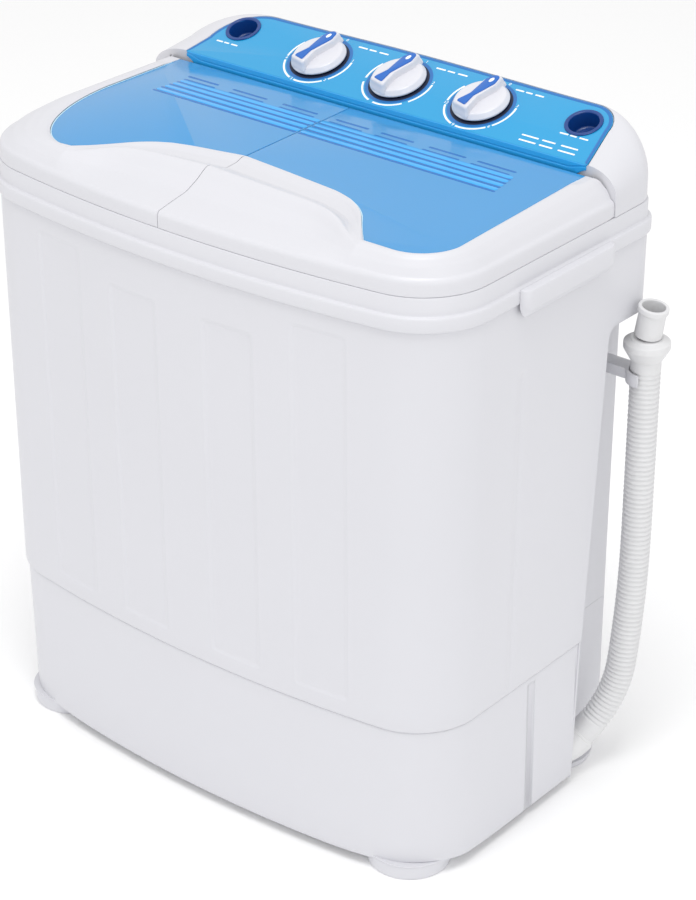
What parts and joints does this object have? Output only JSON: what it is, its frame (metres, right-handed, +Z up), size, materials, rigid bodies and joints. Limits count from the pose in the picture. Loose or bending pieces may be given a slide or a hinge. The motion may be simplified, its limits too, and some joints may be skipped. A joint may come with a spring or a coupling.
{
  "type": "portable washing machine",
  "caption": "Compact twin-tub washing machine with hinged lids, dial controls, a top-fed wash tub, a spin basket and a corrugated drain hose on its rear corner.",
  "frame": {"origin": "on the floor under the middle of the body's outer box, hose left out", "axes": "+Z up, front towards -Y, +X to the right of someone facing the front"},
  "size_m": [0.626, 0.3682, 0.7021],
  "materials": {
    "white_plastic": "moulded white, satin, fine grain",
    "clear_blue_plastic": "clear blue, glossy",
    "panel_blue_plastic": "blue, glossy",
    "inlet_blue_plastic": "dark blue, satin",
    "hose_plastic": "soft off-white, matte",
    "black_rubber": "matte",
    "plain_steel": "plain, slightly dull",
    "grey_plastic": "matte grey"
  },
  "bodies": {
    "cabinet": {"base_shell": "white_plastic", "cabinet_shell": "white_plastic", "top_deck": "white_plastic", "control_housing": "white_plastic", "back_cover": "white_plastic", "wash_tub": "white_plastic", "spin_outer_tub": "white_plastic", "carry_grip_left": "white_plastic", "carry_grip_right": "white_plastic", "foot_front_left": "white_plastic", "foot_front_right": "white_plastic", "foot_rear_left": "white_plastic", "foot_rear_right": "white_plastic", "hinge_lug_left": "white_plastic", "hinge_lug_centre": "white_plastic", "hinge_lug_right": "white_plastic", "drain_elbow": "white_plastic", "hose_clip": "white_plastic", "control_panel": "panel_blue_plastic", "water_inlet_left": "inlet_blue_plastic", "water_inlet_right": "inlet_blue_plastic", "drain_hose": "hose_plastic", "hose_collar": "hose_plastic", "hose_nozzle": "hose_plastic", "cable_gland": "black_rubber", "drive_belt": "black_rubber", "spin_motor_mount_1": "black_rubber", "spin_motor_mount_2": "black_rubber", "spin_motor_mount_3": "black_rubber", "wash_motor": "plain_steel", "wash_motor_bracket": "plain_steel", "pulsator_gearbox": "plain_steel", "spin_motor": "plain_steel", "wash_timer_body": "grey_plastic", "drain_selector_body": "grey_plastic", "spin_timer_body": "grey_plastic", "lint_filter": "grey_plastic", "drain_valve_body": "grey_plastic", "drain_pipe": "grey_plastic"},
    "wash_lid": {"wash_lid_frame": "white_plastic", "wash_lid_window": "clear_blue_plastic", "wash_lid_hinge_rod": "plain_steel"},
    "spin_lid": {"spin_lid_frame": "white_plastic", "spin_lid_window": "clear_blue_plastic", "spin_lid_hinge_rod": "plain_steel"},
    "wash_timer": {"wash_timer_knob": "white_plastic", "wash_timer_knob_inlay": "panel_blue_plastic"},
    "drain_selector": {"drain_selector_knob": "white_plastic", "drain_selector_knob_inlay": "panel_blue_plastic"},
    "spin_timer": {"spin_timer_knob": "white_plastic", "spin_timer_knob_inlay": "panel_blue_plastic"},
    "pulsator_drive": {"pulsator": "panel_blue_plastic", "pulsator_shaft": "plain_steel", "pulsator_pulley": "grey_plastic"},
    "motor_drive": {"motor_pulley": "grey_plastic"},
    "basket_drive": {"spin_basket": "white_plastic", "spin_shaft": "plain_steel", "brake_drum": "plain_steel"},
    "drain_valve": {"drain_plunger": "black_rubber"},
    "brake": {"brake_lever": "plain_steel"}
  },
  "joints": [
    {"name": "wash_lid_hinge", "type": "hinge", "parent": "cabinet", "child": "wash_lid", "pos_m": [0.12, 0.0967, 0.6481], "axis": [-1, 0, 0], "range_deg": [0, 93]},
    {"name": "spin_lid_hinge", "type": "hinge", "parent": "cabinet", "child": "spin_lid", "pos_m": [-0.14, 0.0967, 0.6481], "axis": [-1, 0, 0], "range_deg": [0, 93]},
    {"name": "wash_timer_turn", "type": "hinge", "parent": "cabinet", "child": "wash_timer", "pos_m": [0.107, 0.13981, 0.67597], "axis": [0, 0.3584, -0.9336], "range_deg": [0, 300]},
    {"name": "drain_selector_turn", "type": "hinge", "parent": "cabinet", "child": "drain_selector", "pos_m": [0.006, 0.13981, 0.67597], "axis": [0, 0.3584, -0.9336], "range_deg": [0, 90]},
    {"name": "spin_timer_turn", "type": "hinge", "parent": "cabinet", "child": "spin_timer", "pos_m": [-0.095, 0.13981, 0.67597], "axis": [0, 0.3584, -0.9336], "range_deg": [0, 270]},
    {"name": "pulsator_spin", "type": "hinge", "parent": "cabinet", "child": "pulsator_drive", "pos_m": [0.122, -0.038, 0.245], "axis": [0, 0, 1], "continuous": true},
    {"name": "motor_pulley_spin", "type": "hinge", "parent": "cabinet", "child": "motor_drive", "pos_m": [0.036, 0.052, 0.132], "axis": [0, 0, 1], "continuous": true},
    {"name": "basket_spin", "type": "hinge", "parent": "cabinet", "child": "basket_drive", "pos_m": [-0.146, -0.04, 0.3], "axis": [0, 0, 1], "continuous": true},
    {"name": "drain_plunger_lift", "type": "slide", "parent": "cabinet", "child": "drain_valve", "axis": [0, 0, 1], "range_m": [0, 0.0121]},
    {"name": "brake_lever_swing", "type": "hinge", "parent": "cabinet", "child": "brake", "pos_m": [-0.08, 0.028, 0.185], "axis": [0, 0, 1], "range_deg": [0, 10]}
  ],
  "couplings": [
    {"joint": "motor_pulley_spin", "follows": "pulsator_spin", "ratio": 2.5},
    {"joint": "drain_plunger_lift", "follows": "drain_selector_turn", "m_per_rad": 0.007639},
    {"joint": "brake_lever_swing", "follows": "spin_lid_hinge", "ratio": 0.1}
  ]
}
